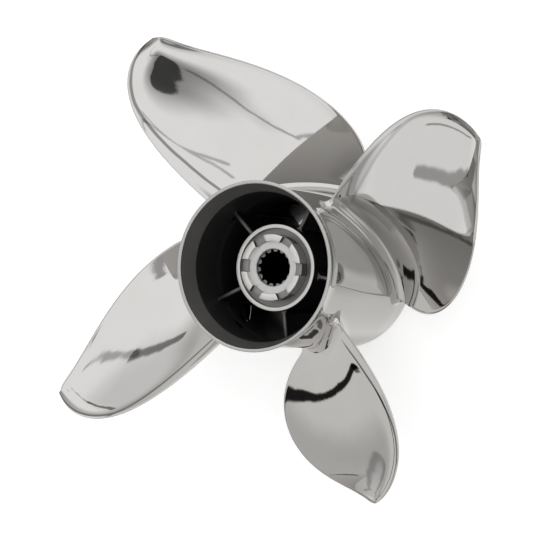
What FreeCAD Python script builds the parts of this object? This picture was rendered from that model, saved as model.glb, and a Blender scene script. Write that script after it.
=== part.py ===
"""Four-bladed through-hub-exhaust boat propeller, in millimetres.

The shaft's axis is Z and +Z points aft. The propeller stands on the forward end of its
barrel, whose centre is the origin. The tip of blade_1 lies over +Y.
"""

import FreeCAD, Part
import math
import os
import Sketcher

# ---------------------------------------------------------------- driving dimensions
SIZES = {
    # outer barrel, the tube that carries the blades
    "barrel_length": 141.5,
    "barrel_front_radius": 53.3,
    "barrel_radius": 54.6,
    "barrel_front_taper": 18.0,
    "flare_start": 122.0,
    "flare_middle": 133.0,
    "flare_middle_rise": 1.4,
    "rim_radius": 58.5,
    "rim_wall": 2.45,
    "rim_bevel": 0.5,
    "rim_band": 1.2,
    "bore_front_radius": 49.9,
    "bore_aft_radius": 51.4,
    "bore_step": 95.0,
    "bore_flare_start": 127.5,
    # inner hub tube and the ribs that hold it in the barrel
    "hub_front": 8.0,
    "hub_aft": 108.7,
    "hub_radius": 30.0,
    "hub_bore_radius": 27.1,
    "hub_shoulder_radius": 24.6,
    "hub_shoulder_end": 18.0,
    "hub_mouth_chamfer": 0.6,
    "rib_count": 5,
    "rib_first_angle": 31.8,
    "rib_thickness": 2.8,
    "rib_front": 14.0,
    "rib_aft": 102.3,
    # rubber bush in its shell, with its retaining ring and the washer that covers them
    "shell_bore_radius": 25.0,
    "shell_end": 100.0,
    "bush_front": 20.0,
    "bush_end": 98.0,
    "bush_clearance": 0.05,
    "washer_bore_radius": 18.4,
    "washer_top": 105.4,
    "ring_bore_radius": 24.6,
    "ring_thickness": 1.6,
    "ring_groove_depth": 1.1,
    "ring_side_clearance": 0.05,
    "ring_gap": 9.0,
    # splined drive sleeve and the castellated ring on its aft end
    "sleeve_front": 12.0,
    "sleeve_radius": 17.0,
    "collar_front": 100.0,
    "collar_radius": 18.1,
    "seat_height": 111.9,
    "mouth_radius": 12.8,
    "mouth_chamfer": 0.4,
    "pilot_radius": 13.0,
    "pilot_length": 8.0,
    "spline_end": 108.7,
    "spline_teeth": 15,
    "spline_major_radius": 12.7,
    "spline_minor_radius": 11.1,
    "space_width_inside": 3.4,
    "space_width_outside": 1.7,
    "castle_front": 105.9,
    "castle_radius": 22.8,
    "castle_top": 115.85,
    "castle_slots": 6,
    "slot_first_angle": 27.2,
    "slot_width": 8.3,
    "slot_depth": 2.6,
    # blades
    "blade_count": 4,
    "blade_root_radius": 54.54,
    "blade_tip_radius": 181.0,
    "pitch_root": 413.0,
    "pitch_tip": 462.0,
    "camber_root": 3.9,
    "camber_tip": 3.9,
    "hollow_fade_chord": 25.0,
    "cup_depth": 1.6,
    "cup_width": 9.0,
    "root_thickness": 9.0,
    "edge_thickness": 1.5,
}

# Curves along the blade from root to tip, each as the control values of a Bezier curve.
# Angles are in degrees about the axis from the tip, positive towards the trailing edge.
# The hollow is how far the aft face dips below its helix in the middle of a row, and its
# skew moves the deepest place towards one edge.
BLADE_CURVES = {
    "leading_edge": (-47.9, -69.2, -0.4, -4.6, -2.8, 0.0),
    "trailing_edge": (20.8, 19.9, 16.7, 13.5, 5.9, 0.0),
    "mid_chord": (-14.4, -6.7, 0.3, 0.0),
    "mid_height": (59.5, 95.2, 125.3, 126.7),
    "hollow": (2.9, 0.9, 3.3),
    "hollow_skew": (0.3, -2.8, 1.9),
}

# How finely the blade's surfaces are laid out, and where they start and stop: a little
# inside the barrel, where the barrel trims them, and just short of the tip's last point.
BLADE_ROWS = 26
BLADE_COLUMNS = 15
BLADE_FIRST_ROW = -0.03
BLADE_LAST_ROW = 0.975

doc = FreeCAD.newDocument("propeller")
sheet = doc.addObject("Spreadsheet::Sheet", "Sizes")
parts = []


def fill_sheet():
    """Put the driving dimensions into the spreadsheet, one named cell each."""
    cells = dict(SIZES)
    for curve, values in BLADE_CURVES.items():
        for place, value in enumerate(values):
            cells[curve + "_" + "abcdef"[place]] = value
    for row, (name, value) in enumerate(cells.items(), start=1):
        sheet.set("A%d" % row, name)
        sheet.set("B%d" % row, str(value))
        sheet.setAlias("B%d" % row, name)
    doc.recompute()


def value_of(expression):
    """The number that a sheet expression stands for."""
    return float(sheet.evalExpression(expression))


def size(name):
    """A driving dimension, read from the sheet."""
    return float(sheet.get(name))


def bind(thing, target, expression):
    """Tie a property or a constraint to the sheet."""
    thing.setExpression(target, expression)


# ---------------------------------------------------------------- sketch and feature helpers
def new_body(label):
    body = doc.addObject("PartDesign::Body", label)
    body.Label = label
    parts.append(body)
    return body


def origin_plane(body, role):
    return next(item for item in body.Origin.OriginFeatures if item.Role == role)


def outline_sketch(body, name, role, corners):
    """A closed outline of straight lines, every corner placed by two sheet expressions."""
    sketch = body.newObject("Sketcher::SketchObject", name)
    sketch.AttachmentSupport = (origin_plane(body, role), [""])
    sketch.MapMode = "FlatFace"
    places = [FreeCAD.Vector(value_of(across), value_of(up), 0) for across, up in corners]
    count = len(places)
    for i in range(count):
        sketch.addGeometry(Part.LineSegment(places[i], places[(i + 1) % count]), False)
    for i in range(count):
        sketch.addConstraint(Sketcher.Constraint("Coincident", i, 2, (i + 1) % count, 1))
    for i, (across, up) in enumerate(corners):
        for kind, expression, axis in (("DistanceX", across, -2), ("DistanceY", up, -1)):
            value = value_of(expression)
            if value == 0:
                sketch.addConstraint(Sketcher.Constraint("PointOnObject", i, 1, axis))
                continue
            rule = sketch.addConstraint(Sketcher.Constraint(kind, -1, 1, i, 1, value))
            bind(sketch, "Constraints[%d]" % rule, expression)
    return sketch


def turned(body, name, corners, kind="PartDesign::Revolution"):
    """A full turn about the body's Z axis of an outline given as (radius, height)."""
    sketch = outline_sketch(body, name + "_outline", "XZ_Plane", corners)
    feature = body.newObject(kind, name)
    feature.Profile = sketch
    feature.ReferenceAxis = (sketch, ["V_Axis"])
    feature.Angle = 360
    sketch.Visibility = False
    doc.recompute()
    return feature


def tube_outline(inner, outer, low, high):
    return [(inner, low), (outer, low), (outer, high), (inner, high)]


def cut_pocket(body, name, corners, top, depth):
    """Cut an outline in the XY plane downwards from a height, and make sure that it cut."""
    before = body.Shape.Volume
    sketch = outline_sketch(body, name + "_outline", "XY_Plane", corners)
    bind(sketch, "AttachmentOffset.Base.z", top)
    pocket = body.newObject("PartDesign::Pocket", name)
    pocket.Profile = sketch
    bind(pocket, "Length", depth)
    doc.recompute()
    if body.Shape.Volume >= before:
        raise RuntimeError(name + " cuts nothing")
    return pocket


def repeat_round(body, feature, count):
    """Repeat a feature round the body's Z axis."""
    pattern = body.newObject("PartDesign::PolarPattern", feature.Name + "_pattern")
    pattern.Originals = [feature]
    pattern.Axis = (feature.Profile[0], ["N_Axis"])
    pattern.Angle = 360
    bind(pattern, "Occurrences", count)
    body.Tip = pattern
    doc.recompute()
    return pattern


# ---------------------------------------------------------------- barrel, inner hub, ribs
BARREL_OUTSIDE = [
    ("Sizes.barrel_front_radius - Sizes.rim_bevel", "0"),
    ("Sizes.barrel_front_radius", "Sizes.rim_bevel"),
    ("Sizes.barrel_radius", "Sizes.barrel_front_taper"),
    ("Sizes.barrel_radius", "Sizes.flare_start"),
    ("Sizes.barrel_radius + Sizes.flare_middle_rise", "Sizes.flare_middle"),
    ("Sizes.rim_radius", "Sizes.barrel_length - Sizes.rim_band"),
    ("Sizes.rim_radius", "Sizes.barrel_length - Sizes.rim_bevel"),
    ("Sizes.rim_radius - Sizes.rim_bevel", "Sizes.barrel_length"),
]


def make_outer_barrel():
    """The tube that carries the blades, with its flared aft rim and stepped bore."""
    bore = [
        ("Sizes.rim_radius - Sizes.rim_wall", "Sizes.barrel_length"),
        ("Sizes.bore_aft_radius", "Sizes.bore_flare_start"),
        ("Sizes.bore_aft_radius", "Sizes.bore_step"),
        ("Sizes.bore_front_radius", "Sizes.bore_step"),
        ("Sizes.bore_front_radius", "0"),
    ]
    turned(new_body("outer_barrel"), "barrel", BARREL_OUTSIDE + bore)


def make_inner_hub():
    """The tube inside the barrel, with a shoulder at the front and a retaining-ring groove."""
    groove_low = "Sizes.shell_end - Sizes.ring_side_clearance"
    groove_high = "Sizes.shell_end + Sizes.ring_thickness + Sizes.ring_side_clearance"
    groove_radius = "Sizes.hub_bore_radius + Sizes.ring_groove_depth"
    outline = [
        ("Sizes.hub_shoulder_radius", "Sizes.hub_front"),
        ("Sizes.hub_radius", "Sizes.hub_front"),
        ("Sizes.hub_radius", "Sizes.hub_aft"),
        ("Sizes.hub_bore_radius + Sizes.hub_mouth_chamfer", "Sizes.hub_aft"),
        ("Sizes.hub_bore_radius", "Sizes.hub_aft - Sizes.hub_mouth_chamfer"),
        ("Sizes.hub_bore_radius", groove_high),
        (groove_radius, groove_high),
        (groove_radius, groove_low),
        ("Sizes.hub_bore_radius", groove_low),
        ("Sizes.hub_bore_radius", "Sizes.hub_shoulder_end"),
        ("Sizes.hub_shoulder_radius", "Sizes.hub_shoulder_end"),
    ]
    turned(new_body("inner_hub"), "hub", outline)


def make_rib(number):
    """One radial plate from the inner hub to the barrel, its ends curved to fit them both."""
    body = new_body("rib_%d" % number)
    plate = outline_sketch(
        body,
        "plate_outline",
        "XY_Plane",
        [
            ("Sizes.hub_radius - 3", "-Sizes.rib_thickness / 2"),
            ("Sizes.bore_aft_radius + 1", "-Sizes.rib_thickness / 2"),
            ("Sizes.bore_aft_radius + 1", "Sizes.rib_thickness / 2"),
            ("Sizes.hub_radius - 3", "Sizes.rib_thickness / 2"),
        ],
    )
    bind(plate, "AttachmentOffset.Base.z", "Sizes.rib_front")
    pad = body.newObject("PartDesign::Pad", "plate")
    pad.Profile = plate
    bind(pad, "Length", "Sizes.rib_aft - Sizes.rib_front")
    doc.recompute()
    below = "Sizes.rib_front - 1"
    above = "Sizes.rib_aft + 1"
    outside = "Sizes.barrel_radius"
    beyond_barrel = [
        ("Sizes.bore_front_radius", below),
        (outside, below),
        (outside, above),
        ("Sizes.bore_aft_radius", above),
        ("Sizes.bore_aft_radius", "Sizes.bore_step"),
        ("Sizes.bore_front_radius", "Sizes.bore_step"),
    ]
    turned(body, "barrel_fit", beyond_barrel, "PartDesign::Groove")
    within_hub = tube_outline("0", "Sizes.hub_radius", below, above)
    turned(body, "hub_fit", within_hub, "PartDesign::Groove")
    turn = "Sizes.rib_first_angle + %d * 360 / Sizes.rib_count" % (number - 1)
    bind(body, "Placement.Rotation.Angle", turn)


# ---------------------------------------------------------------- rubber bush and what holds it
def make_bush_parts():
    """The steel shell pressed into the inner hub and the rubber bonded inside it."""
    shell = tube_outline(
        "Sizes.shell_bore_radius",
        "Sizes.hub_bore_radius",
        "Sizes.hub_shoulder_end",
        "Sizes.shell_end",
    )
    turned(new_body("bush_shell"), "shell", shell)
    rubber = tube_outline(
        "Sizes.sleeve_radius + Sizes.bush_clearance",
        "Sizes.shell_bore_radius",
        "Sizes.bush_front",
        "Sizes.bush_end",
    )
    turned(new_body("rubber_bush"), "rubber", rubber)


def make_retainers():
    """The split ring that snaps in behind the shell, and the washer pressed in over it."""
    ring_top = "Sizes.shell_end + Sizes.ring_thickness"
    washer = tube_outline(
        "Sizes.washer_bore_radius", "Sizes.hub_bore_radius", ring_top, "Sizes.washer_top"
    )
    turned(new_body("bush_washer"), "washer", washer)
    ring = tube_outline(
        "Sizes.ring_bore_radius",
        "Sizes.hub_bore_radius + Sizes.ring_groove_depth - Sizes.ring_side_clearance",
        "Sizes.shell_end",
        ring_top,
    )
    body = new_body("retaining_ring")
    turned(body, "ring", ring)
    gap = [
        ("Sizes.ring_bore_radius - 3", "-Sizes.ring_gap / 2"),
        ("Sizes.hub_radius", "-Sizes.ring_gap / 2"),
        ("Sizes.hub_radius", "Sizes.ring_gap / 2"),
        ("Sizes.ring_bore_radius - 3", "Sizes.ring_gap / 2"),
    ]
    cut_pocket(body, "gap", gap, ring_top, "Sizes.ring_thickness")


# ---------------------------------------------------------------- drive sleeve, castellated ring
def make_drive_sleeve():
    """The sleeve on the shaft: pilot bore, spline, and a seat with a chamfered mouth."""
    body = new_body("drive_sleeve")
    outline = [
        ("Sizes.pilot_radius", "Sizes.sleeve_front"),
        ("Sizes.sleeve_radius", "Sizes.sleeve_front"),
        ("Sizes.sleeve_radius", "Sizes.collar_front"),
        ("Sizes.collar_radius", "Sizes.collar_front"),
        ("Sizes.collar_radius", "Sizes.seat_height"),
        ("Sizes.mouth_radius + Sizes.mouth_chamfer", "Sizes.seat_height"),
        ("Sizes.mouth_radius", "Sizes.seat_height - Sizes.mouth_chamfer"),
        ("Sizes.mouth_radius", "Sizes.spline_end"),
        ("Sizes.spline_minor_radius", "Sizes.spline_end"),
        ("Sizes.spline_minor_radius", "Sizes.sleeve_front + Sizes.pilot_length"),
        ("Sizes.pilot_radius", "Sizes.sleeve_front + Sizes.pilot_length"),
    ]
    turned(body, "sleeve", outline)
    space = [
        ("Sizes.spline_minor_radius - 1", "-Sizes.space_width_inside / 2"),
        ("Sizes.spline_major_radius", "-Sizes.space_width_outside / 2"),
        ("Sizes.spline_major_radius", "Sizes.space_width_outside / 2"),
        ("Sizes.spline_minor_radius - 1", "Sizes.space_width_inside / 2"),
    ]
    length = "Sizes.spline_end - Sizes.sleeve_front - Sizes.pilot_length"
    pocket = cut_pocket(body, "tooth_space", space, "Sizes.spline_end", length)
    repeat_round(body, pocket, "Sizes.spline_teeth")


def make_castle_ring():
    """The ring pressed on the sleeve's collar, with slots for a lock washer's tabs."""
    body = new_body("castle_ring")
    outline = tube_outline(
        "Sizes.collar_radius", "Sizes.castle_radius", "Sizes.castle_front", "Sizes.castle_top"
    )
    turned(body, "castle", outline)
    slot = [
        ("Sizes.collar_radius - 4", "-Sizes.slot_width / 2"),
        ("Sizes.castle_radius + 2", "-Sizes.slot_width / 2"),
        ("Sizes.castle_radius + 2", "Sizes.slot_width / 2"),
        ("Sizes.collar_radius - 4", "Sizes.slot_width / 2"),
    ]
    pocket = cut_pocket(body, "tab_slot", slot, "Sizes.castle_top", "Sizes.slot_depth")
    repeat_round(body, pocket, "Sizes.castle_slots")
    bind(body, "Placement.Rotation.Angle", "Sizes.slot_first_angle")


# ---------------------------------------------------------------- blades
def bezier(curve, along):
    """A value on one of the blade's curves, at 0 for the root and 1 for the tip."""
    names = [curve + "_" + letter for letter in "abcdef"[: len(BLADE_CURVES[curve])]]
    order = len(names) - 1
    return sum(
        math.comb(order, i) * along**i * (1 - along) ** (order - i) * size(name)
        for i, name in enumerate(names)
    )


class BladeRow:
    """One row of the blade, at a constant radius: where its face runs and how thick it is."""

    def __init__(self, along):
        span = 1 - (1 - along) ** 2
        self.radius = size("blade_root_radius") + span * (
            size("blade_tip_radius") - size("blade_root_radius")
        )
        self.lead = bezier("leading_edge", along)
        self.trail = bezier("trailing_edge", along)
        self.middle = bezier("mid_chord", along)
        self.height = bezier("mid_height", along)
        pitch = size("pitch_root") + span * (size("pitch_tip") - size("pitch_root"))
        self.rise = pitch / (2 * math.pi)
        self.camber = size("camber_root") + span * (size("camber_tip") - size("camber_root"))
        self.sweep = math.radians(self.trail - self.lead)
        self.chord = self.sweep * math.hypot(self.radius, self.rise)
        fade = 1 - math.exp(-((self.chord / size("hollow_fade_chord")) ** 2))
        self.hollow = bezier("hollow", span) * fade
        self.skew = bezier("hollow_skew", span) * fade
        self.belly = (size("root_thickness") - size("edge_thickness")) * (1 - along)

    def angle(self, across):
        """Degrees from the tip, at 0 for the leading edge and 1 for the trailing edge."""
        return self.lead + across * (self.trail - self.lead)

    def point(self, across, depth=0.0):
        """A point of the aft face, or one a depth behind it, square to the face.

        The depth is laid off round the cylinder of the row's radius, as propeller sections
        are drawn, so every row keeps its radius.
        """
        turn = math.radians(self.angle(across) - self.middle)
        from_edge = (1 - across) * self.chord / size("cup_width")
        dip = size("cup_depth") * from_edge * math.exp(1 - from_edge)
        arch = 4 * across * (1 - across)
        tilt = 1 - 2 * across
        hollow = arch * (self.hollow + self.skew * tilt)
        fall = 4 * tilt * (self.hollow + self.skew * tilt) - 2 * arch * self.skew
        height = self.height + self.rise * turn + self.camber * turn**2 - dip - hollow
        slope = (self.rise + 2 * self.camber * turn - fall / self.sweep) / self.radius
        round_the_cylinder = depth * slope / math.hypot(1, slope)
        down_the_axis = depth / math.hypot(1, slope)
        angle = math.radians(self.angle(across) + 90) + round_the_cylinder / self.radius
        return FreeCAD.Vector(
            self.radius * math.cos(angle),
            self.radius * math.sin(angle),
            height - down_the_axis,
        )

    def thickness(self, across):
        arch = 4 * across * (1 - across)
        return size("edge_thickness") + self.belly * arch**1.3


def blade_grids():
    """Points of the blade's aft face, and of its forward face one thickness behind it."""
    columns = [j / (BLADE_COLUMNS - 1) for j in range(BLADE_COLUMNS)]
    faces = []
    backs = []
    for i in range(BLADE_ROWS):
        part_way = i / (BLADE_ROWS - 1)
        row = BladeRow(BLADE_FIRST_ROW + part_way * (BLADE_LAST_ROW - BLADE_FIRST_ROW))
        faces.append([row.point(across) for across in columns])
        backs.append([row.point(across, row.thickness(across)) for across in columns])
    return faces, backs


def surface_through(points):
    surface = Part.BSplineSurface()
    surface.interpolate(points)
    return surface


def blade_solid():
    """A closed blade whose root follows the outside of the barrel."""
    face, back = [surface_through(grid) for grid in blade_grids()]
    skins = [face.toShape(), back.toShape()]
    low_u, high_u, low_v, high_v = face.bounds()
    for kept, value in (("u", low_u), ("u", high_u), ("v", low_v), ("v", high_v)):
        if kept == "u":
            edges = [surface.uIso(value).toShape() for surface in (face, back)]
        else:
            edges = [surface.vIso(value).toShape() for surface in (face, back)]
        skins.append(Part.makeRuledSurface(edges[0], edges[1]))
    shell = Part.Shell(Part.makeCompound(skins).Faces)
    shell.sewShape()
    blank = Part.Solid(Part.Shell(shell.Faces))
    if blank.Volume < 0:
        blank.reverse()
    outside = [FreeCAD.Vector(value_of(r), 0, value_of(z)) for r, z in BARREL_OUTSIDE]
    top = FreeCAD.Vector(0, 0, outside[-1].z)
    bottom = FreeCAD.Vector(0, 0, outside[0].z)
    profile = Part.Face(Part.makePolygon([bottom] + outside + [top, bottom]))
    plug = profile.revolve(FreeCAD.Vector(0, 0, 0), FreeCAD.Vector(0, 0, 1), 360)
    return blank.cut(plug)


def make_blades():
    """Equal blades spaced round the barrel."""
    solid = blade_solid().Solids[0]
    for number in range(1, int(size("blade_count")) + 1):
        blade = doc.addObject("Part::Feature", "blade_%d" % number)
        blade.Label = "blade_%d" % number
        blade.Shape = solid
        turn = -(number - 1) * 360 / size("blade_count")
        blade.Placement = FreeCAD.Placement(
            FreeCAD.Vector(0, 0, 0), FreeCAD.Rotation(FreeCAD.Vector(0, 0, 1), turn)
        )
        parts.append(blade)


# ---------------------------------------------------------------- build, check, write
def check_model():
    for thing in doc.Objects:
        if "Invalid" in thing.State or "Error" in thing.State:
            raise RuntimeError("%s is in state %s" % (thing.Label, thing.State))
    for part in parts:
        shape = part.Shape
        if shape.isNull() or not shape.isValid() or len(shape.Solids) != 1:
            raise RuntimeError("%s has no valid single solid" % part.Label)


def write_parts():
    os.makedirs("parts", exist_ok=True)
    for part in parts:
        part.Shape.exportStep("parts/%s.step" % part.Label)
        box = part.Shape.BoundBox
        print(
            "%-15s %9.1f mm3, z %.2f to %.2f" % (part.Label, part.Shape.Volume, box.ZMin, box.ZMax)
        )


fill_sheet()
make_outer_barrel()
make_inner_hub()
for rib_number in range(1, int(size("rib_count")) + 1):
    make_rib(rib_number)
make_bush_parts()
make_retainers()
make_drive_sleeve()
make_castle_ring()
make_blades()
doc.recompute()
check_model()
write_parts()
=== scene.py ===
"""A four-bladed boat propeller in polished steel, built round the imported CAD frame.

Sizes in the tables below are in millimetres. Those that the CAD model has too are the same
there; fillets, rolled edges and bevels are added here. Meshes are in metres, in the frame's
own coordinates: +Z is aft, and the tip of blade_1 lies over +Y.
"""

import bmesh
import bpy
import math
from mathutils import Euler, Matrix, Vector


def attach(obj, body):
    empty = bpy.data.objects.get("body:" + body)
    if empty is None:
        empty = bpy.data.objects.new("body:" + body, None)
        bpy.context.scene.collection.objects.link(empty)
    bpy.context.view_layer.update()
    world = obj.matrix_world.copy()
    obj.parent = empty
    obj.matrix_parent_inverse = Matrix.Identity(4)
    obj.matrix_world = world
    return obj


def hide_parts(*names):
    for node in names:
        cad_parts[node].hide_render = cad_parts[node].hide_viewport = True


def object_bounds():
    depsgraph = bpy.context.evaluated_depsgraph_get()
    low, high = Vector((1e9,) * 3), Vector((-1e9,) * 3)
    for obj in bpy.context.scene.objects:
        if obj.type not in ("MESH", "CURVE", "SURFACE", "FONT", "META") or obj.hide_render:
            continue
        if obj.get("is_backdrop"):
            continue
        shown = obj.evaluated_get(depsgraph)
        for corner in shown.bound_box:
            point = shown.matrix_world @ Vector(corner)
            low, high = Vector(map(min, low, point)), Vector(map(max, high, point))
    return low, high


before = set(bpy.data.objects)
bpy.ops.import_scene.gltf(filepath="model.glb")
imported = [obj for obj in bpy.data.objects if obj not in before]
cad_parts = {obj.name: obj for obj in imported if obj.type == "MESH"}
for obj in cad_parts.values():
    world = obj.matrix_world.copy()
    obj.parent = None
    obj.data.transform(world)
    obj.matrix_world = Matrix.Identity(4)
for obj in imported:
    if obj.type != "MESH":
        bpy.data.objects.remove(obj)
cad_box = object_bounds()

MM = 0.001
ROUND = 2 * math.pi

# ---------------------------------------------------------------- sizes, in millimetres
BLADE_COUNT = 4
BLADE = {
    "root_radius": 54.54,
    "tip_radius": 181.0,
    "pitch_root": 413.0,
    "pitch_tip": 462.0,
    "camber_root": 3.9,
    "camber_tip": 3.9,
    "hollow_fade_chord": 25.0,
    "cup_depth": 1.6,
    "cup_width": 9.0,
    "root_thickness": 9.0,
    "edge_thickness": 1.5,
    "section_power": 1.3,
    "edge_roll_depth": 0.7,
    "edge_roll_width": 1.5,
    "fillet": 9.0,
    "skirt": 1.5,
}
# Bezier control values from root to tip, in degrees from the tip and in millimetres.
BLADE_CURVES = {
    "leading_edge": (-47.9, -69.2, -0.4, -4.6, -2.8, 0.0),
    "trailing_edge": (20.8, 19.9, 16.7, 13.5, 5.9, 0.0),
    "mid_chord": (-14.4, -6.7, 0.3, 0.0),
    "mid_height": (59.5, 95.2, 125.3, 126.7),
    "hollow": (2.9, 0.9, 3.3),
    "hollow_skew": (0.3, -2.8, 1.9),
}
BARREL = {
    "length": 141.5,
    "front_radius": 53.3,
    "radius": 54.6,
    "front_taper": 18.0,
    "front_bevel": 0.6,
    "flare_start": 122.0,
    "flare_power": 1.8,
    "rim_radius": 58.5,
    "rim_wall": 2.45,
    "rim_round": 0.7,
    "bore_front": 49.9,
    "bore_bevel": 0.5,
    "bore_aft": 51.4,
    "bore_step": 95.0,
    "bore_step_length": 6.0,
    "bore_flare_start": 127.5,
}
HUB = {
    "front": 8.0,
    "aft": 108.7,
    "radius": 30.0,
    "bore": 27.1,
    "shoulder": 24.6,
    "shoulder_end": 18.0,
    "turned_band": 1.5,
    "corner_round": 0.5,
}
RING_GROOVE = {"low": 99.95, "high": 101.65, "radius": 28.2}
RIB = {
    "count": 5,
    "first_angle": 31.8,
    "thickness": 2.8,
    "front": 14.0,
    "aft": 102.3,
    "hub_fillet": 2.5,
    "barrel_fillet": 1.0,
    "hub_overlap": 0.8,
    "barrel_overlap": 1.6,
}
# Painted highlight on the ribs' rounded aft edges: its heights, and the radii over which it fades
# out towards the barrel, where the ribs lie in shade.
RIB_PAINTED_LIGHT = {"heights": (101.2, 102.2), "radii": (36.0, 50.0)}
# Painted shade in the drive sleeve's spline: heights where it deepens, at the spline's ends and
# below the end face.
SLEEVE_PAINTED_SHADE = {"spline_end": (107.5, 108.6), "end_face": (109.0, 111.2)}
CASTLE = {
    "inner": 18.1,
    "outer": 22.8,
    "front": 105.9,
    "top": 115.85,
    "slots": 6,
    "first_slot": 27.2,
    "slot_width": 8.3,
    "slot_depth": 2.6,
    "bevel": 0.35,
}
BEVEL_BULGE = 0.3  # how far in a rounded bevel's middle lies, as a part of the bevel
# The floor's last two sizes place a disc of painted shadow inside the barrel.
FLOOR = {"size": 12000.0, "glow": 0.45, "painted_shadow_radius": 49.0, "painted_shadow_height": 0.1}

# Painted reflections: dark lines on the blades' faces for dark things seen mirrored where
# the cup and the edges curl, in millimetres: (distance from the edge, half width, depth).
# The cup's line leaves the trailing edge inwards as it comes nearer the barrel. The painted
# lines are darker on some blades than on others, from blade_1 to blade_4.
EDGE_GAPS = "edge_gaps"
CUP_REFLECTION_LINE = (2.6, 1.5, 1.0)
CUP_REFLECTION_LINE_LEAVES = {"from_radius": 152.0, "rate": 0.115}
LEADING_REFLECTION_LINE = (1.6, 0.7, 0.5)
LINE_CORE = 0.4  # the part of a line's half width that has its full depth
EDGE_REFLECTION_STRENGTHS = (0.7, 0.25, 1.0, 0.65)

# ---------------------------------------------------------------- camera
CAMERA_PLACE = (1.1771, -0.7421, 2.8658)
CAMERA_TURN = (1.77, 26.72, -28.09)
CAMERA_LENS = 295.1
SENSOR = 36.0

# ---------------------------------------------------------------- light tent
# Directions are (degrees round the axis from +X, degrees above the floor).
TENT = {
    "wall_light": 1.06,
    "floor_light": (0.34, 0.74),
    "bright_side": 145.0,
    "horizon": (-1.0, 13.0),
    "ripple": 0.016,
    "ripple_scale": 22.0,
}
# Gaps, seams and cards of the tent: (places on a line, half width, softness, darkness).
# A negative darkness is a lamp.
TENT_SEAMS = [
    # The gap for the lens, its halo, and the folds of cloth beside it.
    ([(-53, 59.1), (-47, 58), (-42, 57), (-37, 56.4), (-32.5, 55.2)], 1.4, 0.4, 0.83),
    ([(-52, 57.5), (-36, 55.5)], 0.0, 11.0, 0.68),
    ([(-52, 56), (-50, 51), (-49.6, 47.5), (-53, 43.5), (-60, 39.7), (-72, 40)], 0.2, 0.7, 0.5),
    ([(-52, 54), (-50, 46)], 0.0, 6.0, 0.15),
    # Seams that show in blade_1 and blade_2.
    ([(-104, 42), (-107, 30)], 3.0, 3.0, 0.6),
    ([(-12, 34), (-7.4, 42), (-6.8, 28)], 0.3, 1.0, 0.45),
    ([(-147, 20.6), (-156, 20.4), (-163, 20), (-169, 17.6)], 0.85, 0.35, 0.55),
    ([(-97, -7), (-78, -9.5), (-55, -19), (-30, -27)], 1.4, 1.3, 0.6),
    ([(-106, -5.4), (-117, -4.3), (-134, -2.2), (-140, -8), (-144, -15)], 0.95, 0.5, 0.97),
    ([(-145, -18), (-149, -29), (-145, -36), (-139, -41)], 3.4, 1.0, 0.97),
    # Seams that show in blade_3 and blade_4.
    ([(120, 1), (126.4, -3.5), (133, -8.2), (151, -16.8), (159, -17.6)], 1.1, 0.5, 0.98),
    ([(159, -17.6), (158.8, -15.5)], 0.5, 0.5, 0.8),
    ([(93, 7), (90.3, 13.8), (84.5, 23.5)], 0.6, 0.5, 0.72),
    ([(85.5, 22), (77, 31.7), (60, 41)], 0.35, 0.45, 0.5),
    ([(46, 38.5), (54.7, 34.8), (58, 33)], 0.4, 0.5, 0.6),
    ([(148, 1.5), (144.5, 4.3), (139.5, 7.3), (131, 9.2), (125, 7)], 0.2, 0.7, 0.42),
    # Seams that show in the cup of blade_2 and at the root of blade_3.
    ([(-128, 8), (-100, 5.5), (-72, 9)], 2.2, 1.5, 0.3),
    ([(160, -2), (168, -9), (-178, -12)], 2.2, 1.0, 0.9),
    ([(-170, -13), (-160, -11), (-154, -4)], 1.6, 1.5, 0.7),
    # Broad grey cards, and a lamp low down.
    ([(92, 24), (96, 14), (100, 6)], 2.0, 9.0, 0.26),
    ([(-75, 12), (-112, 16)], 5.0, 11.0, 0.42),
    ([(-140, 18), (-160, 20)], 8.0, 12.0, 0.12),
    ([(126, 8), (150, 6)], 4.0, 9.0, 0.32),
    ([(-100, -70), (80, -75)], 12.0, 10.0, -0.45),
    ([(118, 36), (168, 34)], 8.0, 10.0, 0.5),
    ([(-122, 48), (-165, 52)], 10.0, 16.0, 0.5),
    ([(10, 82), (100, 78)], 6.0, 12.0, 0.35),
]


def link(obj):
    """Put an object in the scene."""
    bpy.context.scene.collection.objects.link(obj)
    return obj


def mesh_piece(name, points, faces, materials, face_materials=None):
    """A smooth-shaded object from points in millimetres."""
    mesh = bpy.data.meshes.new(name)
    mesh.from_pydata([tuple(c * MM for c in p) for p in points], [], faces)
    for material in materials:
        mesh.materials.append(material)
    if face_materials:
        mesh.polygons.foreach_set("material_index", face_materials)
    mesh.polygons.foreach_set("use_smooth", [True] * len(mesh.polygons))
    mesh.update()
    return link(bpy.data.objects.new(name, mesh))


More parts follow.
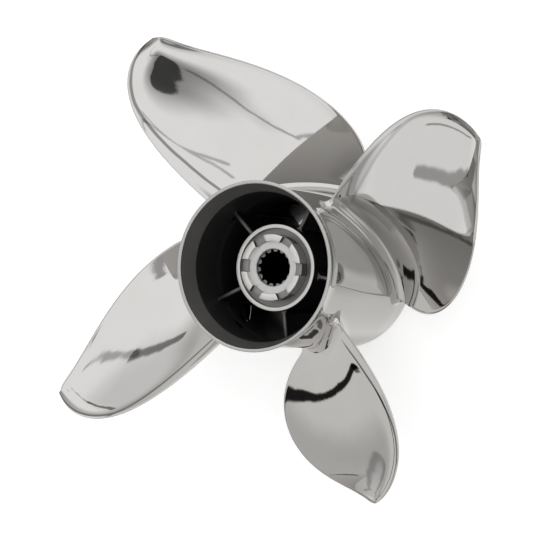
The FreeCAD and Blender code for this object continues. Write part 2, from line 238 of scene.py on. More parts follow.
# ---------------------------------------------------------------- material helpers
class NodeTree:
    """A small helper for adding and linking shader nodes."""

    def __init__(self, owner):
        owner.use_nodes = True
        self.data = owner
        self.nodes = owner.node_tree.nodes
        self.links = owner.node_tree.links

    def add(self, kind, settings=None, **inputs):
        node = self.nodes.new(kind)
        for key, value in (settings or {}).items():
            setattr(node, key, value)
        for key, value in inputs.items():
            self.feed(node.inputs[key.replace("_", " ")], value)
        return node

    def feed(self, socket, value):
        if isinstance(value, bpy.types.NodeSocket):
            self.links.new(value, socket)
        else:
            socket.default_value = value

    def object_coordinates(self):
        return self.add("ShaderNodeTexCoord").outputs["Object"]

    def noise(self, scale, detail=3.0, roughness=0.5):
        node = self.add("ShaderNodeTexNoise", Scale=scale, Detail=detail, Roughness=roughness)
        self.feed(node.inputs["Vector"], self.object_coordinates())
        return node.outputs["Fac"]

    def spread(self, value, low, high):
        """Map 0..1 onto low..high."""
        node = self.add("ShaderNodeMapRange")
        self.feed(node.inputs["Value"], value)
        node.inputs["To Min"].default_value = low
        node.inputs["To Max"].default_value = high
        return node.outputs["Result"]

    def math(self, operation, *values):
        node = self.add("ShaderNodeMath", {"operation": operation})
        for socket, value in zip(node.inputs, values):
            self.feed(socket, value)
        return node.outputs["Value"]

    def vector(self, operation, *values):
        node = self.add("ShaderNodeVectorMath", {"operation": operation})
        for socket, value in zip(node.inputs, values):
            self.feed(socket, value)
        return node.outputs["Value" if operation in ("DOT_PRODUCT", "DISTANCE") else "Vector"]

    def fade(self, value, start, end, low=0.0, high=1.0):
        """A smooth step of a value: low up to start, high from end on."""
        node = self.add("ShaderNodeMapRange", {"interpolation_type": "SMOOTHSTEP"})
        self.feed(node.inputs["Value"], value)
        for name, number in (
            ("From Min", start), ("From Max", end), ("To Min", low), ("To Max", high)
        ):
            self.feed(node.inputs[name], number)
        return node.outputs["Result"]

    def bump(self, height, distance, strength=1.0, normal=None):
        node = self.add("ShaderNodeBump", Height=height, Distance=distance, Strength=strength)
        if normal is not None:
            self.feed(node.inputs["Normal"], normal)
        return node.outputs["Normal"]

    def mix(self, factor, first, second):
        node = self.add("ShaderNodeMix", {"data_type": "RGBA"})
        self.feed(node.inputs[0], factor)
        self.feed(node.inputs[6], first)
        self.feed(node.inputs[7], second)
        return node.outputs[2]


class Material(NodeTree):
    """One node material round a Principled shader."""

    def __init__(self, name):
        super().__init__(bpy.data.materials.new(name))
        self.shader = next(n for n in self.nodes if n.type == "BSDF_PRINCIPLED")

    def set(self, **inputs):
        for key, value in inputs.items():
            self.feed(self.shader.inputs[key.replace("_", " ")], value)

    def height(self):
        """Height above the floor, in metres."""
        return self.add("ShaderNodeSeparateXYZ", Vector=self.object_coordinates()).outputs["Z"]

    def above(self, band):
        """0 below a band of heights in millimetres, rising to 1 above it."""
        low, high = band
        return self.fade(self.height(), low * MM, high * MM)

    def radius(self):
        """Distance from the shaft's axis, in metres."""
        place = self.add("ShaderNodeSeparateXYZ", Vector=self.object_coordinates())
        squares = [self.math("MULTIPLY", place.outputs[n], place.outputs[n]) for n in "XY"]
        return self.math("SQRT", self.math("ADD", *squares))

    def line(self, gap, line, wander):
        """How much a place at a gap from an edge lies on a line of a middle, half width, depth."""
        middle, half, depth = line
        off = self.math("ABSOLUTE", self.math("SUBTRACT", self.math("ADD", gap, wander), middle))
        return self.fade(off, LINE_CORE * half, half, depth, 0.0)

    def lathe_rings(self, per_metre):
        """A wave that runs outwards and up, as fine turning marks do."""
        path = self.math("ADD", self.radius(), self.height())
        return self.math("SINE", self.math("MULTIPLY", path, per_metre))


def polished_steel(name, painted_edge_reflections=False):
    """Hand-polished stainless steel: a mirror with slight waves and faint haze.

    On the blades, dark lines beside the edges and in the cup are painted reflections.
    """
    m = Material(name)
    haze = m.noise(38.0, 5.0, 0.6)
    colour = m.mix(haze, (0.615, 0.605, 0.59, 1), (0.67, 0.662, 0.65, 1))
    if painted_edge_reflections:
        gaps = m.add("ShaderNodeAttribute", {"attribute_name": EDGE_GAPS}).outputs["Vector"]
        place = m.add("ShaderNodeSeparateXYZ", Vector=gaps)
        wander = m.spread(m.noise(45.0, 2.0), -0.5, 0.5)
        # painted reflections: dark lines at set gaps from the trailing and leading edges
        for edge, line in (("X", CUP_REFLECTION_LINE), ("Y", LEADING_REFLECTION_LINE)):
            dull = m.math("MULTIPLY", m.line(place.outputs[edge], line, wander), place.outputs["Z"])
            colour = m.mix(dull, colour, (0.07, 0.068, 0.065, 1))
    m.set(Metallic=1.0, Base_Color=colour, Roughness=m.spread(haze, 0.012, 0.04))
    waves = m.bump(m.noise(26.0, 1.0, 0.4), 0.0004, 0.3)
    m.set(Normal=m.bump(m.noise(900.0, 4.0, 0.6), 0.00001, 0.3, waves))
    return m.data


def blackened_steel():
    """The exhaust side of the casting: blackened, a little glossy, slightly grainy."""
    m = Material("blackened_steel")
    grain = m.noise(420.0, 5.0, 0.6)
    patches = m.noise(22.0, 3.0)
    m.set(
        Base_Color=m.mix(patches, (0.01, 0.01, 0.01, 1), (0.027, 0.0265, 0.026, 1)),
        Roughness=m.spread(patches, 0.32, 0.48),
        Normal=m.bump(grain, 0.0002, 0.25),
    )
    return m.data


def rib_steel_painted_edge_light():
    """Blackened casting with a speckled grey painted highlight on its rounded aft edges, strongest
    near the hub.
    """
    m = Material("rib_steel")
    speckle = m.noise(300.0, 5.0, 0.6)
    near, far = RIB_PAINTED_LIGHT["radii"]
    outwards = m.fade(m.radius(), near * MM, far * MM, 1.0, 0.12)
    # painted highlight along the aft edges, fading out towards the barrel
    edge_light = m.math("MULTIPLY", m.above(RIB_PAINTED_LIGHT["heights"]), m.spread(speckle, 0.4, 1.2))
    edge_light = m.math("MULTIPLY", edge_light, outwards)
    m.set(
        Base_Color=m.mix(edge_light, (0.010, 0.0098, 0.0095, 1), (0.24, 0.235, 0.23, 1)),
        Roughness=m.spread(speckle, 0.3, 0.5),
        Normal=m.bump(speckle, 0.0002, 0.3),
    )
    return m.data


def ringed_steel(name, dark, light, roughness, ring_scale=9000.0):
    """Lathe-turned steel of a given tone, with fine rings round the axis."""
    m = Material(name)
    rings = m.lathe_rings(ring_scale)
    drift = m.noise(90.0, 4.0)
    m.set(
        Metallic=1.0,
        Base_Color=m.mix(drift, (*dark, 1), (*light, 1)),
        Roughness=m.spread(drift, *roughness),
        Normal=m.bump(rings, 0.00004, 0.5),
    )
    return m.data


def sleeve_steel():
    """The drive sleeve: turned on its end face, with painted shade darkening its spline down into
    the bore.
    """
    m = Material("sleeve_steel")
    drift = m.noise(90.0, 4.0)
    face = m.mix(drift, (0.66, 0.65, 0.63, 1), (0.76, 0.75, 0.735, 1))
    # painted shade: grey at the spline's ends, black deeper in the bore
    lit_tooth_ends = m.above(SLEEVE_PAINTED_SHADE["spline_end"])
    shaded_teeth = m.mix(lit_tooth_ends, (0.002, 0.002, 0.002, 1), (0.3, 0.3, 0.29, 1))
    m.set(
        Metallic=1.0,
        Base_Color=m.mix(m.above(SLEEVE_PAINTED_SHADE["end_face"]), shaded_teeth, face),
        Roughness=m.spread(drift, 0.34, 0.46),
        Normal=m.bump(m.lathe_rings(16000.0), 0.00003, 0.5),
    )
    return m.data


def flare_painted_light_steel():
    """The mouth of the barrel: cast, dark and slightly glossy; its tone, lighter than the bore's, is
    painted light falling into the mouth.
    """
    m = Material("flare_painted_light_steel")
    patches = m.noise(35.0, 4.0)
    m.set(
        # painted light: a lighter tone than the bore's, where light falls into the mouth
        Base_Color=m.mix(patches, (0.055, 0.054, 0.051, 1), (0.095, 0.093, 0.088, 1)),
        Roughness=m.spread(patches, 0.36, 0.5),
        Normal=m.bump(m.noise(500.0, 4.0, 0.6), 0.0001, 0.25),
    )
    return m.data


def rubber():
    """The bush's rubber: black, matt and grainy."""
    m = Material("bush_rubber")
    grain = m.noise(800.0, 4.0, 0.6)
    m.set(
        Base_Color=m.mix(grain, (0.010, 0.010, 0.010, 1), (0.022, 0.022, 0.021, 1)),
        Roughness=m.spread(grain, 0.6, 0.85),
        Normal=m.bump(grain, 0.0002, 0.4),
    )
    return m.data


# ---------------------------------------------------------------- lathe work
def arc(centre_r, centre_z, radius, start, end, steps=6):
    """Profile points along an arc, angles in degrees from the +r direction."""
    points = []
    for i in range(steps + 1):
        a = math.radians(start + (end - start) * i / steps)
        points.append((centre_r + radius * math.cos(a), centre_z + radius * math.sin(a)))
    return points


def softened(corners, round_by, steps=3):
    """A closed profile with every corner cut round by a small radius."""
    points = []
    count = len(corners)
    for i in range(count):
        here = Vector(corners[i])
        before = Vector(corners[i - 1]) - here
        after = Vector(corners[(i + 1) % count]) - here
        cut = min(round_by, 0.4 * before.length, 0.4 * after.length)
        start = here + before.normalized() * cut
        end = here + after.normalized() * cut
        for k in range(steps + 1):
            along = k / steps
            a = start.lerp(here, along)
            b = here.lerp(end, along)
            points.append(tuple(a.lerp(b, along)))
    return points


def lathe(name, profile, materials, pick, segments):
    """Turn a closed (radius, height) profile round the axis. pick gives a face's material."""
    points = []
    for radius, height in profile:
        for k in range(segments):
            a = ROUND * k / segments
            points.append((radius * math.cos(a), radius * math.sin(a), height))
    faces = []
    picked = []
    count = len(profile)
    for i in range(count):
        j = (i + 1) % count
        middle = [(profile[i][n] + profile[j][n]) / 2 for n in (0, 1)]
        for k in range(segments):
            n = (k + 1) % segments
            faces.append(
                (i * segments + k, i * segments + n, j * segments + n, j * segments + k)
            )
            picked.append(pick(*middle))
    return mesh_piece(name, points, faces, materials, picked)


# ---------------------------------------------------------------- barrel, hub, ribs
def barrel_outside(height):
    """The barrel's outer radius at a height: taper, straight run, flare."""
    b = BARREL
    if height < b["front_taper"]:
        return b["front_radius"] + (b["radius"] - b["front_radius"]) * height / b["front_taper"]
    if height < b["flare_start"]:
        return b["radius"]
    part = (height - b["flare_start"]) / (b["length"] - b["flare_start"])
    return b["radius"] + (b["rim_radius"] - b["radius"]) * part ** b["flare_power"]


def bore_radius(height):
    """The barrel's inner radius below its flare: wider aft of an eased step."""
    b = BARREL
    part = (height - b["bore_step"]) / b["bore_step_length"] + 0.5
    part = min(max(part, 0.0), 1.0)
    eased = part * part * (3 - 2 * part)
    return b["bore_front"] + (b["bore_aft"] - b["bore_front"]) * eased


def barrel_skin(top):
    """The outside, from the front bevel up to the rim's rounding: (radius, height) points."""
    b = BARREL
    stretches = [
        (b["front_bevel"], b["front_taper"], 6),
        (b["front_taper"], b["flare_start"], 20),
        (b["flare_start"], top, 24),
    ]
    heights = [b["front_bevel"]]
    for start, end, steps in stretches:
        heights += [start + (end - start) * i / steps for i in range(1, steps + 1)]
    return [(barrel_outside(z), z) for z in heights]


def barrel_rim(top):
    """The rounded end of the flare, from outside to inside."""
    half = BARREL["rim_round"]
    outer = BARREL["rim_radius"]
    inner = outer - BARREL["rim_wall"]
    return arc(outer - half, top, half, 0, 90) + arc(inner + half, top, half, 90, 180)


def barrel_bore(top):
    """The bore, from the rim down: a cone, a straight run, the eased step, a straight run."""
    b = BARREL
    corner = b["bore_flare_start"]
    widening = b["rim_radius"] - b["rim_wall"] - b["bore_aft"]
    cone_steps = 12
    crisp = 0.3  # a ring this close to the cone keeps its shading crisp
    bore = []
    for i in range(1, cone_steps + 1):
        part = 1 - i / cone_steps
        bore.append((b["bore_aft"] + widening * part, corner + (top - corner) * part))
    bore += [(b["bore_aft"], corner - crisp), (b["bore_aft"], corner - 15.0)]
    step_parts = 8
    for i in range(step_parts + 1):
        z = b["bore_step"] + b["bore_step_length"] * (0.5 - i / step_parts)
        bore.append((bore_radius(z), z))
    bore += [(b["bore_front"], 40.0), (b["bore_front"], b["front_bevel"])]
    return bore + [(b["bore_front"] + b["bore_bevel"], 0.0)]


def make_barrel(polished, black, rim_look, lit_flare_look):
    """The barrel: polished outside, with a blackened bore and a mouth made lighter by painted light.
    """
    b = BARREL
    bevel = b["front_bevel"]
    top = b["length"] - b["rim_round"]
    corner = b["bore_flare_start"]
    profile = barrel_skin(top) + barrel_rim(top) + barrel_bore(top)
    profile += [(b["front_radius"] - bevel, 0.0), (b["front_radius"] - bevel / 4, bevel / 4)]

    looks = [polished, black, rim_look, lit_flare_look]
    outside, inside, rim, flare = range(len(looks))

    def pick(radius, height):
        wall = barrel_outside(height) - radius
        if height > top - 0.01:
            return rim
        if wall < 1.0 or height < bevel / 2:
            return outside
        return flare if height > corner else inside

    barrel = lathe("barrel_casting", profile, looks, pick, segments=384)
    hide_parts("outer_barrel")
    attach(barrel, "propeller")
    return barrel


def make_inner_hub(black, turned):
    """The hub's tube: blackened outside, turned inside and at its aft end."""
    h = HUB
    groove = RING_GROOVE
    corners = [
        (h["shoulder"], h["front"]),
        (h["radius"], h["front"]),
        (h["radius"], h["aft"]),
        (h["bore"], h["aft"]),
        (h["bore"], groove["high"]),
        (groove["radius"], groove["high"]),
        (groove["radius"], groove["low"]),
        (h["bore"], groove["low"]),
        (h["bore"], h["shoulder_end"]),
        (h["shoulder"], h["shoulder_end"]),
    ]

    def pick(radius, height):
        outside = radius > h["radius"] - 0.2
        return 0 if outside and height < h["aft"] - h["turned_band"] else 1

    profile = softened(corners, h["corner_round"])
    hub = lathe("hub_tube", profile, [black, turned], pick, segments=256)
    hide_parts("inner_hub")
    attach(hub, "propeller")
    return hub


def rib_half_width(radius, height):
    """Half a rib's thickness, swelling into fillets at the hub and at the barrel."""
    half = RIB["thickness"] / 2
    gaps = (radius - HUB["radius"], bore_radius(height) - radius)
    for fillet, gap in zip((RIB["hub_fillet"], RIB["barrel_fillet"]), gaps):
        short = fillet - min(max(gap, 0.0), fillet)
        half += fillet - math.sqrt(fillet**2 - short**2)
    return half


def rib_section(part, heights):
    """One loop round a rib at a place from hub (0) to barrel (1), with a round aft edge."""
    sides = []
    start = HUB["radius"] - RIB["hub_overlap"]
    for z in heights:
        radius = start + part * (bore_radius(z) + RIB["barrel_overlap"] - HUB["radius"])
        sides.append((radius, rib_half_width(radius, z), z))
    crown = RIB["thickness"] / 2
    radius, half, top = sides[-1]
    points = list(sides)
    crown_steps = 12
    for k in range(1, crown_steps):
        a = math.pi * k / crown_steps
        points.append((radius, half * math.cos(a), top + crown * math.sin(a)))
    return points + [(r, -h, z) for r, h, z in reversed(sides)]


def make_ribs(material):
    """The ribs, with rings placed close together where the barrel's bore steps."""
    crown = RIB["thickness"] / 2
    step = BARREL["bore_step"]
    at_step = [step + rise for rise in (-7.0, -3.0, -1.5, 0.0, 1.5, 3.0)]
    heights = [RIB["front"], 50.0, *at_step, RIB["aft"] - crown]
    steps = 48
    parts = [0.5 - 0.5 * math.cos(math.pi * i / steps) for i in range(steps + 1)]
    loops = [rib_section(part, heights) for part in parts]
    size = len(loops[0])
    faces = [tuple(range(size)), tuple(steps * size + j for j in reversed(range(size)))]
    for i in range(steps):
        for j in range(size):
            n = (j + 1) % size
            faces.append((i * size + j, (i + 1) * size + j, (i + 1) * size + n, i * size + n))
    for number in range(1, RIB["count"] + 1):
        turn = math.radians(RIB["first_angle"]) + (number - 1) * ROUND / RIB["count"]
        spin = Matrix.Rotation(turn, 3, "Z")
        points = [tuple(spin @ Vector(p)) for loop in loops for p in loop]
        rib = mesh_piece("rib_casting_%d" % number, points, faces, [material])
        fix_normals(rib)
        rib.data.set_sharp_from_angle(angle=math.radians(50))
        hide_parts("rib_%d" % number)
        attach(rib, "propeller")


def castle_columns():
    """Places round the castellated ring: (slot number, offset from slot, lug part, height)."""
    c = CASTLE
    half = c["slot_width"] / 2
    floor = c["top"] - c["slot_depth"]
    bevel = c["bevel"]
    bulge = BEVEL_BULGE * bevel
    columns = []
    for slot in range(c["slots"]):
        rise = [(half, floor), (half, c["top"] - bevel), (half + bulge, c["top"] - bulge)]
        up = [(offset, 0.0, height) for offset, height in rise]
        down = [(-offset, 0.0, height) for offset, height in reversed(rise)]
        base = [(half * f, 0.0, floor) for f in (-0.5, 0.0, 0.5)]
        lug = [(half + bevel, part / 8, c["top"]) for part in range(9)]
        columns += [(slot, *place) for place in down + base + up + lug]
    return columns


def castle_angle(slot, offset, part, radius):
    """The angle of a place at a radius. Slots are straight-sided; lugs fill what is left."""
    pitch = ROUND / CASTLE["slots"]
    start = math.radians(CASTLE["first_slot"]) + slot * pitch
    edge = math.asin(offset / radius)
    if part == 0.0:
        return start + edge
    return start + edge + part * (pitch - 2 * edge)


def castle_rows():
    """Rings of the castellated ring, from bore to outside: (radius, drop below the top).

    A row without a drop lies on the front face.
    """
    c = CASTLE
    bevel = c["bevel"]
    bulge = BEVEL_BULGE * bevel
    rows = [(c["inner"], None), (c["inner"], bevel), (c["inner"] + bulge, bulge)]
    rows += [(c["inner"] + bevel, 0.0), (c["outer"] - bevel, 0.0)]
    return rows + [(c["outer"] - bulge, bulge), (c["outer"], bevel), (c["outer"], None)]


def make_castle_ring(bright, dull, dark):
    """The castellated ring: bright lug tops, dull slots and sides, slot walls dark with painted
    shade.
    """
    c = CASTLE
    bevel = c["bevel"]
    looks = [bright, dull, dark]
    top, plain, wall = range(len(looks))
    rows = castle_rows()
    columns = castle_columns()
    points = []
    for radius, drop in rows:
        for slot, offset, part, height in columns:
            angle = castle_angle(slot, offset, part, radius)
            z = c["front"] if drop is None else height - drop
            points.append((radius * math.cos(angle), radius * math.sin(angle), z))
    faces = []
    picked = []
    width = len(columns)
    for i in range(len(rows)):
        j = (i + 1) % len(rows)
        for k in range(width):
            n = (k + 1) % width
            faces.append((i * width + k, i * width + n, j * width + n, j * width + k))
            here, after = columns[k][3], columns[n][3]
            lower = min(here, after)
            # walls between a slot and a lug get the dark material, as painted shade
            if here != after and lower < c["top"] - 2 * bevel:
                picked.append(wall)
            else:
                picked.append(top if lower > c["top"] - bevel else plain)
    ring = mesh_piece("castle_turning", points, faces, looks, picked)
    ring.data.set_sharp_from_angle(angle=math.radians(40))
    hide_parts("castle_ring")
    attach(ring, "drive_hub")
    return ring


# ---------------------------------------------------------------- blades
def bezier(name, along):
    """The value of one of the blade's curves at a place from root (0) to tip (1)."""
    values = BLADE_CURVES[name]
    order = len(values) - 1
    return sum(
        math.comb(order, i) * along**i * (1 - along) ** (order - i) * value
        for i, value in enumerate(values)
    )


class BladeRow:
    """One row of the blade at a constant radius, grown outwards by `grow` where it fillets."""

    def __init__(self, along, grow=0.0):
        span = 1 - (1 - along) ** 2
        reach = BLADE["tip_radius"] - BLADE["root_radius"]
        self.radius = BLADE["root_radius"] + span * reach
        self.lead = bezier("leading_edge", along)
        self.trail = bezier("trailing_edge", along)
        self.middle = bezier("mid_chord", along)
        self.height = bezier("mid_height", along)
        pitch = BLADE["pitch_root"] + span * (BLADE["pitch_tip"] - BLADE["pitch_root"])
        self.rise = pitch / ROUND
        self.camber = BLADE["camber_root"] + span * (BLADE["camber_tip"] - BLADE["camber_root"])
        self.sweep = math.radians(self.trail - self.lead)
        self.chord = self.sweep * math.hypot(self.radius, self.rise)
        fade = 1 - math.exp(-((self.chord / BLADE["hollow_fade_chord"]) ** 2))
        self.hollow = bezier("hollow", span) * fade
        self.skew = bezier("hollow_skew", span) * fade
        self.belly = (BLADE["root_thickness"] - BLADE["edge_thickness"]) * (1 - along)
        self.grow = grow
        from_tip = BLADE["tip_radius"] - self.radius
        edge = BLADE["edge_thickness"]
        closing = max(0.0, 1 - 2 * from_tip / edge)
        self.edge = edge * math.sqrt(max(0.0, 1 - closing**2))

    def thickness(self, across):
        return self.edge + self.belly * (4 * across * (1 - across)) ** BLADE["section_power"]

    def edge_roll(self, across):
        """How far the polished face rolls off beside its two edges."""
        width = BLADE["edge_roll_width"]
        gaps = (max(across, 0.0) * self.chord, max(1 - across, 0.0) * self.chord)
        shrink = 1 - math.exp(-((self.chord / (4 * width)) ** 2))
        return shrink * BLADE["edge_roll_depth"] * sum(math.exp(-((g / width) ** 2)) for g in gaps)

    def point(self, across, depth, beyond=0.0):
        """A point a depth behind the face and a distance beyond it along the chord."""
        degrees = self.lead + across * (self.trail - self.lead)
        turn = math.radians(degrees - self.middle)
        from_edge = (1 - across) * self.chord / BLADE["cup_width"]
        dip = BLADE["cup_depth"] * from_edge * math.exp(1 - from_edge)
        arch = 4 * across * (1 - across)
        tilt = 1 - 2 * across
        hollow = arch * (self.hollow + self.skew * tilt)
        fall = 4 * tilt * (self.hollow + self.skew * tilt) - 2 * arch * self.skew
        roll = self.edge_roll(across) * min(max(1 - depth / BLADE["edge_thickness"], 0.0), 1.0)
        height = self.height + self.rise * turn + self.camber * turn**2 - dip - hollow - roll
        slope = (self.rise + 2 * self.camber * turn - fall / max(self.sweep, 0.01)) / self.radius
        length = math.hypot(1, slope)
        sideways = (depth * slope + beyond) / length
        height += (beyond * slope - depth) / length
        angle = math.radians(degrees + 90) + sideways / self.radius
        return (self.radius * math.cos(angle), self.radius * math.sin(angle), height)

    def places(self, columns):
        """Where the columns lie, 0 to 1 from edge to edge, closer together near both."""
        inset = min(0.5 * BLADE["edge_thickness"] / max(self.chord, 0.01), 0.499)
        return [
            inset + (1 - 2 * inset) * 0.5 * (1 - math.cos(math.pi * j / (columns - 1)))
            for j in range(columns)
        ]

    def loop(self, columns, edge_steps):
        """The closed section: aft face, trailing edge, forward face, leading edge."""
        across = self.places(columns)
        points = [self.point(c, -self.grow) for c in across]
        points += self.edge_points(across[-1], 1, edge_steps)
        points += [self.point(c, self.thickness(c) + self.grow) for c in reversed(across)]
        points += reversed(self.edge_points(across[0], -1, edge_steps))
        return points

    def gaps(self, columns, edge_steps):
        """For each point of the loop: gaps to trailing and leading edge, 1 on the face."""
        face = min(max((self.radius - BLADE["root_radius"]) / BLADE["fillet"] - 1, 0.0), 1.0)
        inwards = max(CUP_REFLECTION_LINE_LEAVES["from_radius"] - self.radius, 0.0)
        leave = inwards * CUP_REFLECTION_LINE_LEAVES["rate"]
        values = []
        for across in self.places(columns):
            values.append(((1 - across) * self.chord - leave, across * self.chord, face))
        edge = [(0.0, 0.0, 0.0)] * (edge_steps - 1)
        return values + edge + [(0.0, 0.0, 0.0)] * columns + edge

    def edge_points(self, across, side, steps):
        """The half round of one edge, from the aft face to the forward face."""
        half = self.thickness(across) / 2 + self.grow
        points = []
        for k in range(1, steps):
            a = math.pi * k / steps
            depth = half * (1 - math.cos(a)) - self.grow
            points.append(self.point(across, depth, side * half * math.sin(a)))
        return points


def blade_rows():
    """Rows from under the barrel's surface, up the root fillet, and out to the tip."""
    reach = BLADE["tip_radius"] - BLADE["root_radius"]
    fillet = BLADE["fillet"]

    def along_at(above_barrel):
        return 1 - math.sqrt(1 - above_barrel / reach)

    rows = [BladeRow(along_at(-BLADE["skirt"]), fillet)]
    fillet_steps = 14  # a quarter circle of rows
    for i in range(fillet_steps):
        a = 0.5 * math.pi * i / fillet_steps
        rows.append(BladeRow(along_at(fillet * (1 - math.cos(a))), fillet * (1 - math.sin(a))))
    start = along_at(fillet)
    body_steps = 120
    last = 0.9995  # the tip itself would be a row without width
    for i in range(body_steps):
        rows.append(BladeRow(start + (last - start) * i / (body_steps - 1)))
    return rows


def blade_mesh(columns=76, edge_steps=10):
    """Points and faces of a closed blade, and its gaps to the edges for the painted reflection
    lines.
    """
    rows = blade_rows()
    loops = [row.loop(columns, edge_steps) for row in rows]
    size = len(loops[0])
    points = [p for loop in loops for p in loop]
    gaps = [value for row in rows for value in row.gaps(columns, edge_steps)]
    faces = []
    for i in range(len(loops) - 1):
        for j in range(size):
            n = (j + 1) % size
            faces.append((i * size + j, i * size + n, (i + 1) * size + n, (i + 1) * size + j))
    last = (len(loops) - 1) * size
    faces.append(tuple(last + j for j in range(size)))
    faces.append(tuple(reversed(range(size))))
    return points, faces, gaps


def make_blades(polished):
    """Four blades of one shape, each a quarter turn clockwise of the one before."""
    points, faces, gaps = blade_mesh()
    first = mesh_piece("blade_casting_1", points, faces, [polished])
    fix_normals(first)
    first.data.attributes.new(EDGE_GAPS, "FLOAT_VECTOR", "POINT")
    for number in range(1, BLADE_COUNT + 1):
        blade = first
        if number > 1:
            mesh = first.data.copy()
            mesh.transform(Matrix.Rotation(-(number - 1) * ROUND / BLADE_COUNT, 4, "Z"))
            blade = link(bpy.data.objects.new("blade_casting_%d" % number, mesh))
        # how dark the painted reflection lines are on this blade
        strength = EDGE_REFLECTION_STRENGTHS[number - 1]
        values = [v for near, far, face in gaps for v in (near, far, face * strength)]
        blade.data.attributes[EDGE_GAPS].data.foreach_set("vector", values)
        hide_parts("blade_%d" % number)
        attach(blade, "propeller")


def fix_normals(piece):
    """Turn every face of a closed piece outwards."""
    work = bmesh.new()
    work.from_mesh(piece.data)
    bmesh.ops.recalc_face_normals(work, faces=work.faces)
    work.to_mesh(piece.data)
    work.free()


# ---------------------------------------------------------------- studio
def make_floor():
    """A pale floor that glows a little, and that the polished steel doesn't reflect."""
    m = Material("pale_floor")
    m.set(
        Base_Color=(0.9, 0.9, 0.9, 1),
        Roughness=0.9,
        Emission_Color=(1, 1, 1, 1),
        Emission_Strength=FLOOR["glow"],
    )
    bpy.ops.mesh.primitive_plane_add(size=FLOOR["size"] * MM, location=(0, 0, 0))
    floor = bpy.context.object
    floor.name = "studio_floor"
    floor.data.materials.append(m.data)
    floor.visible_glossy = False
    floor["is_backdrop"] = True
    make_painted_floor_shadow()


def make_painted_floor_shadow():
    """A black disc of painted shadow on the floor inside the barrel, where the barrel shades it."""
    m = Material("painted_floor_shadow")
    grain = m.noise(200.0)
    m.set(
        Base_Color=(0.0, 0.0, 0.0, 1),
        Roughness=m.spread(grain, 0.9, 1.0),
        Specular_IOR_Level=0.0,
    )
    bpy.ops.mesh.primitive_circle_add(
        vertices=96,
        radius=FLOOR["painted_shadow_radius"] * MM,
        fill_type="NGON",
        location=(0, 0, FLOOR["painted_shadow_height"] * MM),
    )
    disc = bpy.context.object
    disc.name = "painted_floor_shadow_disc"
    disc.data.materials.append(m.data)
    disc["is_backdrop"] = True


def toward(round_axis, above):
    """A unit vector from degrees round the axis and degrees above the floor."""
    a = math.radians(round_axis)
    b = math.radians(above)
    return Vector((math.cos(b) * math.cos(a), math.cos(b) * math.sin(a), math.sin(b)))


def distance_to_line(sky, direction, places):
    """How far, in degrees, a direction is from a line through places on the sky."""
    nearest = None
    for first, second in zip(places, places[1:]):
        start = toward(*first)
        run = toward(*second) - start
        offset = sky.vector("SUBTRACT", direction, tuple(start))
        along = sky.vector("DOT_PRODUCT", offset, tuple(run / run.length_squared))
        inside = sky.add("ShaderNodeClamp", Value=along).outputs[0]
        scaled = sky.add("ShaderNodeVectorMath", {"operation": "SCALE"}, Scale=inside)
        scaled.inputs[0].default_value = tuple(run)
        gap = sky.vector("DISTANCE", offset, scaled.outputs[0])
        nearest = gap if nearest is None else sky.math("MINIMUM", nearest, gap)
    return sky.math("MULTIPLY", nearest, math.degrees(1.0))


def make_world():
    """A white light tent, greyer towards the floor, with its gap for the lens and its seams."""
    world = bpy.data.worlds.new("studio")
    bpy.context.scene.world = world
    sky = NodeTree(world)
    direction = sky.add("ShaderNodeTexCoord").outputs["Generated"]
    ripple = sky.add(
        "ShaderNodeTexNoise", Vector=direction, Scale=TENT["ripple_scale"], Detail=3.0
    )
    shift = sky.vector("SUBTRACT", ripple.outputs["Color"], (0.5, 0.5, 0.5))
    warped = sky.vector("MULTIPLY_ADD", shift, (TENT["ripple"],) * 3, direction)
    up = sky.add("ShaderNodeSeparateXYZ", Vector=warped).outputs["Z"]
    side = sky.vector("DOT_PRODUCT", warped, tuple(toward(TENT["bright_side"], 0)))
    low, high = TENT["floor_light"]
    ground = sky.spread(sky.math("MULTIPLY_ADD", side, 0.5, 0.5), low, high)
    bottom, top = [math.sin(math.radians(a)) for a in TENT["horizon"]]
    light = sky.fade(up, bottom, top)
    level = sky.math(
        "MULTIPLY_ADD", light, sky.math("SUBTRACT", TENT["wall_light"], ground), ground
    )
    for places, half_width, softness, depth in TENT_SEAMS:
        gap = distance_to_line(sky, warped, places)
        left = sky.fade(gap, half_width, half_width + softness, 1 - depth, 1.0)
        level = sky.math("MULTIPLY", level, left)
    tint = sky.mix(light, (1.0, 0.985, 0.965, 1), (1.0, 1.0, 1.0, 1))
    background = sky.nodes["Background"]
    sky.feed(background.inputs["Color"], tint)
    sky.feed(background.inputs["Strength"], level)


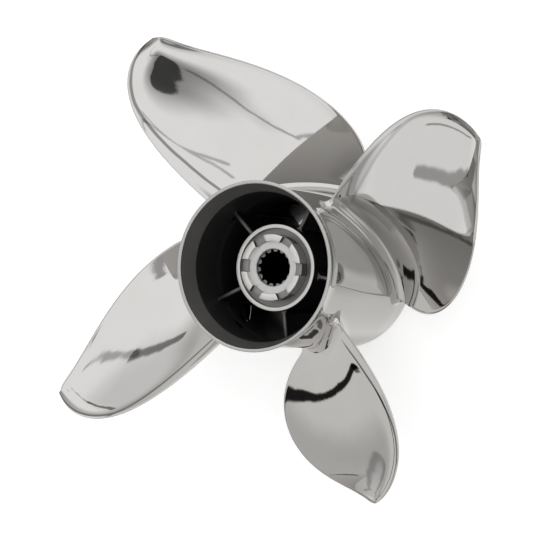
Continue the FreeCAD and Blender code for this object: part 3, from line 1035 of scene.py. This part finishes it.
def make_camera():
    """The camera, far off and with a long lens."""
    data = bpy.data.cameras.new("camera")
    data.sensor_width = SENSOR
    data.lens = CAMERA_LENS
    camera = link(bpy.data.objects.new("camera", data))
    camera.location = CAMERA_PLACE
    camera.rotation_euler = Euler([math.radians(a) for a in CAMERA_TURN], "XYZ")
    bpy.context.scene.camera = camera


def dress_cad_nodes(looks):
    """Give the CAD nodes that stay visible their materials."""
    for node, material in looks.items():
        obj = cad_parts[node]
        obj.data.materials.clear()
        obj.data.materials.append(material)


polished = polished_steel("mirror_steel")
rim = ringed_steel("rim_steel", (0.50, 0.495, 0.485), (0.62, 0.61, 0.60), (0.2, 0.32))
turned = ringed_steel("lathe_steel", (0.66, 0.65, 0.635), (0.78, 0.77, 0.755), (0.28, 0.4))
black = blackened_steel()
# the mouth's lighter tone is painted light
flare = flare_painted_light_steel()
lug_bright = ringed_steel("lug_steel", (0.72, 0.712, 0.69), (0.80, 0.79, 0.77), (0.3, 0.42))
lug_dull = ringed_steel("slot_steel", (0.27, 0.265, 0.26), (0.36, 0.355, 0.35), (0.4, 0.55))
# painted shade on the castle ring's slot walls
slot_wall_painted_shade = ringed_steel("slot_wall_painted_shade_steel", (0.05, 0.05, 0.05), (0.09, 0.09, 0.09), (0.4, 0.55))
washer = ringed_steel("washer_steel", (0.17, 0.167, 0.163), (0.25, 0.246, 0.24), (0.3, 0.45), 5200.0)
make_camera()
make_world()
make_floor()
barrel = make_barrel(polished, black, rim, flare)
hub = make_inner_hub(black, turned)
for piece in (barrel, hub):
    fix_normals(piece)
make_blades(polished_steel("blade_steel", painted_edge_reflections=True))
make_ribs(rib_steel_painted_edge_light())
fix_normals(make_castle_ring(lug_bright, lug_dull, slot_wall_painted_shade))
dress_cad_nodes({"drive_sleeve": sleeve_steel(), "bush_shell": turned, "bush_washer": washer})
dress_cad_nodes({"retaining_ring": black, "rubber_bush": rubber()})

bpy.context.scene.view_settings.view_transform = "Standard"
boxes = {"cad": cad_box, "visual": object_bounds()}
{k: [list(corner) for corner in v] for k, v in boxes.items()}
